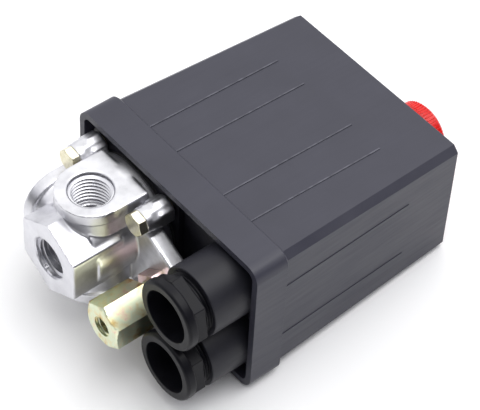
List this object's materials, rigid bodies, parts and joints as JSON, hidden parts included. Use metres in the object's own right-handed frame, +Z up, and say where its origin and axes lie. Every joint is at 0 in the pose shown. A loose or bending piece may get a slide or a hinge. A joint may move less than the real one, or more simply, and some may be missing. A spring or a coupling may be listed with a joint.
{
  "type": "pressure switch",
  "caption": "Air-compressor pressure switch with a ported cast manifold, unloader valve, cable glands, black cover and push-pull knob.",
  "frame": {"origin": "under the middle of the overall box, on the surface that the rim of the cover rests on", "axes": "+X along the switch from the manifold to the knob, +Z up as it lies on its wide side, manifold on the +Y half and cable glands on the -Y half"},
  "size_m": [0.1242, 0.0816, 0.052],
  "materials": {
    "black_abs": "moulded ABS, satin, fine grain",
    "black_nylon": "moulded nylon, satin",
    "cast_aluminium": "die-cast and tumbled, machined port faces",
    "yellow_zinc": "yellow passivated zinc on steel",
    "iridescent_zinc": "iridescent yellow passivated zinc on steel",
    "zinc_plate": "zinc-plated pressed steel",
    "bright_steel": "bright steel",
    "spring_steel": "drawn spring wire",
    "turned_brass": "turned",
    "contact_brass": "stamped strip",
    "black_rubber": "moulded rubber",
    "phenolic": "moulded phenolic",
    "red_plastic": "moulded red plastic, glossy"
  },
  "bodies": {
    "housing": {"base": "black_abs", "cover": "black_abs", "cover_screw": "bright_steel", "cover_standoff": "zinc_plate", "detent_spring": "spring_steel", "diaphragm": "black_rubber", "differential_spring": "spring_steel", "differential_stud": "bright_steel", "earth_screw": "yellow_zinc", "fixed_contacts": "contact_brass", "flange_screws": "yellow_zinc", "gland_seal_lower": "black_rubber", "gland_seal_upper": "black_rubber", "lever_frame": "zinc_plate", "lever_pivot_pin": "bright_steel", "manifold": "cast_aluminium", "range_spring": "spring_steel", "terminal_block": "phenolic", "terminal_screws": "bright_steel", "unloader_body": "iridescent_zinc", "unloader_nut": "iridescent_zinc", "unloader_spring": "spring_steel"},
    "piston": {"diaphragm_piston": "turned_brass"},
    "lever": {"main_lever": "zinc_plate", "contact_carrier": "phenolic", "moving_contact_a": "contact_brass", "moving_contact_b": "contact_brass"},
    "unloader_pin": {"unloader_pin": "bright_steel"},
    "knob": {"knob": "red_plastic", "knob_stem": "red_plastic"},
    "range_seat": {"spring_plate": "zinc_plate"},
    "range_screw": {"range_screw": "yellow_zinc"},
    "differential_seat": {"differential_washer": "zinc_plate"},
    "differential_nut": {"differential_nut": "yellow_zinc"},
    "gland_washer_upper": {"gland_washer_upper": "bright_steel"},
    "gland_nut_upper": {"gland_nut_upper": "black_nylon"},
    "gland_washer_lower": {"gland_washer_lower": "bright_steel"},
    "gland_nut_lower": {"gland_nut_lower": "black_nylon"}
  },
  "joints": [
    {"name": "knob_push", "type": "slide", "parent": "housing", "child": "knob", "axis": [1, 0, 0], "range_m": [-0.006, 0]},
    {"name": "lever_tilt", "type": "hinge", "parent": "housing", "child": "lever", "pos_m": [-0.0128, 0.0315, 0.0275], "axis": [0, 0, 1], "range_deg": [0, 3], "stiffness_Nm_per_rad": 1.8, "springref_deg": -17.19, "deforming": ["range_spring", "differential_spring"]},
    {"name": "piston_lift", "type": "slide", "parent": "housing", "child": "piston", "axis": [1, 0, 0], "range_m": [0, 0.0008]},
    {"name": "unloader_pin_lift", "type": "slide", "parent": "housing", "child": "unloader_pin", "axis": [1, 0, 0], "range_m": [0, 0.0022], "deforming": ["unloader_spring"]},
    {"name": "range_screw_turn", "type": "hinge", "parent": "range_seat", "child": "range_screw", "pos_m": [0.00995, 0.0164, 0.0275], "axis": [1, 0, 0], "range_deg": [-720.1, 720.1]},
    {"name": "range_seat_travel", "type": "slide", "parent": "housing", "child": "range_seat", "axis": [1, 0, 0], "range_m": [-0.0025, 0.0025], "deforming": ["range_spring"]},
    {"name": "differential_nut_turn", "type": "hinge", "parent": "differential_seat", "child": "differential_nut", "pos_m": [0.0073, 0, 0.0275], "axis": [1, 0, 0], "range_deg": [-720.1, 720.1]},
    {"name": "differential_seat_travel", "type": "slide", "parent": "housing", "child": "differential_seat", "axis": [1, 0, 0], "range_m": [-0.0014, 0.0014], "deforming": ["differential_spring"]},
    {"name": "gland_upper_turn", "type": "hinge", "parent": "gland_washer_upper", "child": "gland_nut_upper", "pos_m": [-0.0538, -0.0274, 0.03745], "axis": [1, 0, 0], "range_deg": [0, 540.1]},
    {"name": "gland_upper_travel", "type": "slide", "parent": "housing", "child": "gland_washer_upper", "axis": [1, 0, 0], "range_m": [0, 0.0015], "deforming": ["gland_seal_upper"]},
    {"name": "gland_lower_turn", "type": "hinge", "parent": "gland_washer_lower", "child": "gland_nut_lower", "pos_m": [-0.0538, -0.0274, 0.01455], "axis": [1, 0, 0], "range_deg": [0, 540.1]},
    {"name": "gland_lower_travel", "type": "slide", "parent": "housing", "child": "gland_washer_lower", "axis": [1, 0, 0], "range_m": [0, 0.0015], "deforming": ["gland_seal_lower"]}
  ],
  "couplings": [
    {"joint": "piston_lift", "follows": "lever_tilt", "m_per_rad": 0.0151},
    {"joint": "unloader_pin_lift", "follows": "lever_tilt", "m_per_rad": 0.0403},
    {"joint": "range_screw_turn", "follows": "range_seat_travel", "rad_per_m": 5026.5},
    {"joint": "differential_nut_turn", "follows": "differential_seat_travel", "rad_per_m": 8976},
    {"joint": "gland_upper_turn", "follows": "gland_upper_travel", "rad_per_m": 6283.2},
    {"joint": "gland_lower_turn", "follows": "gland_lower_travel", "rad_per_m": 6283.2}
  ]
}
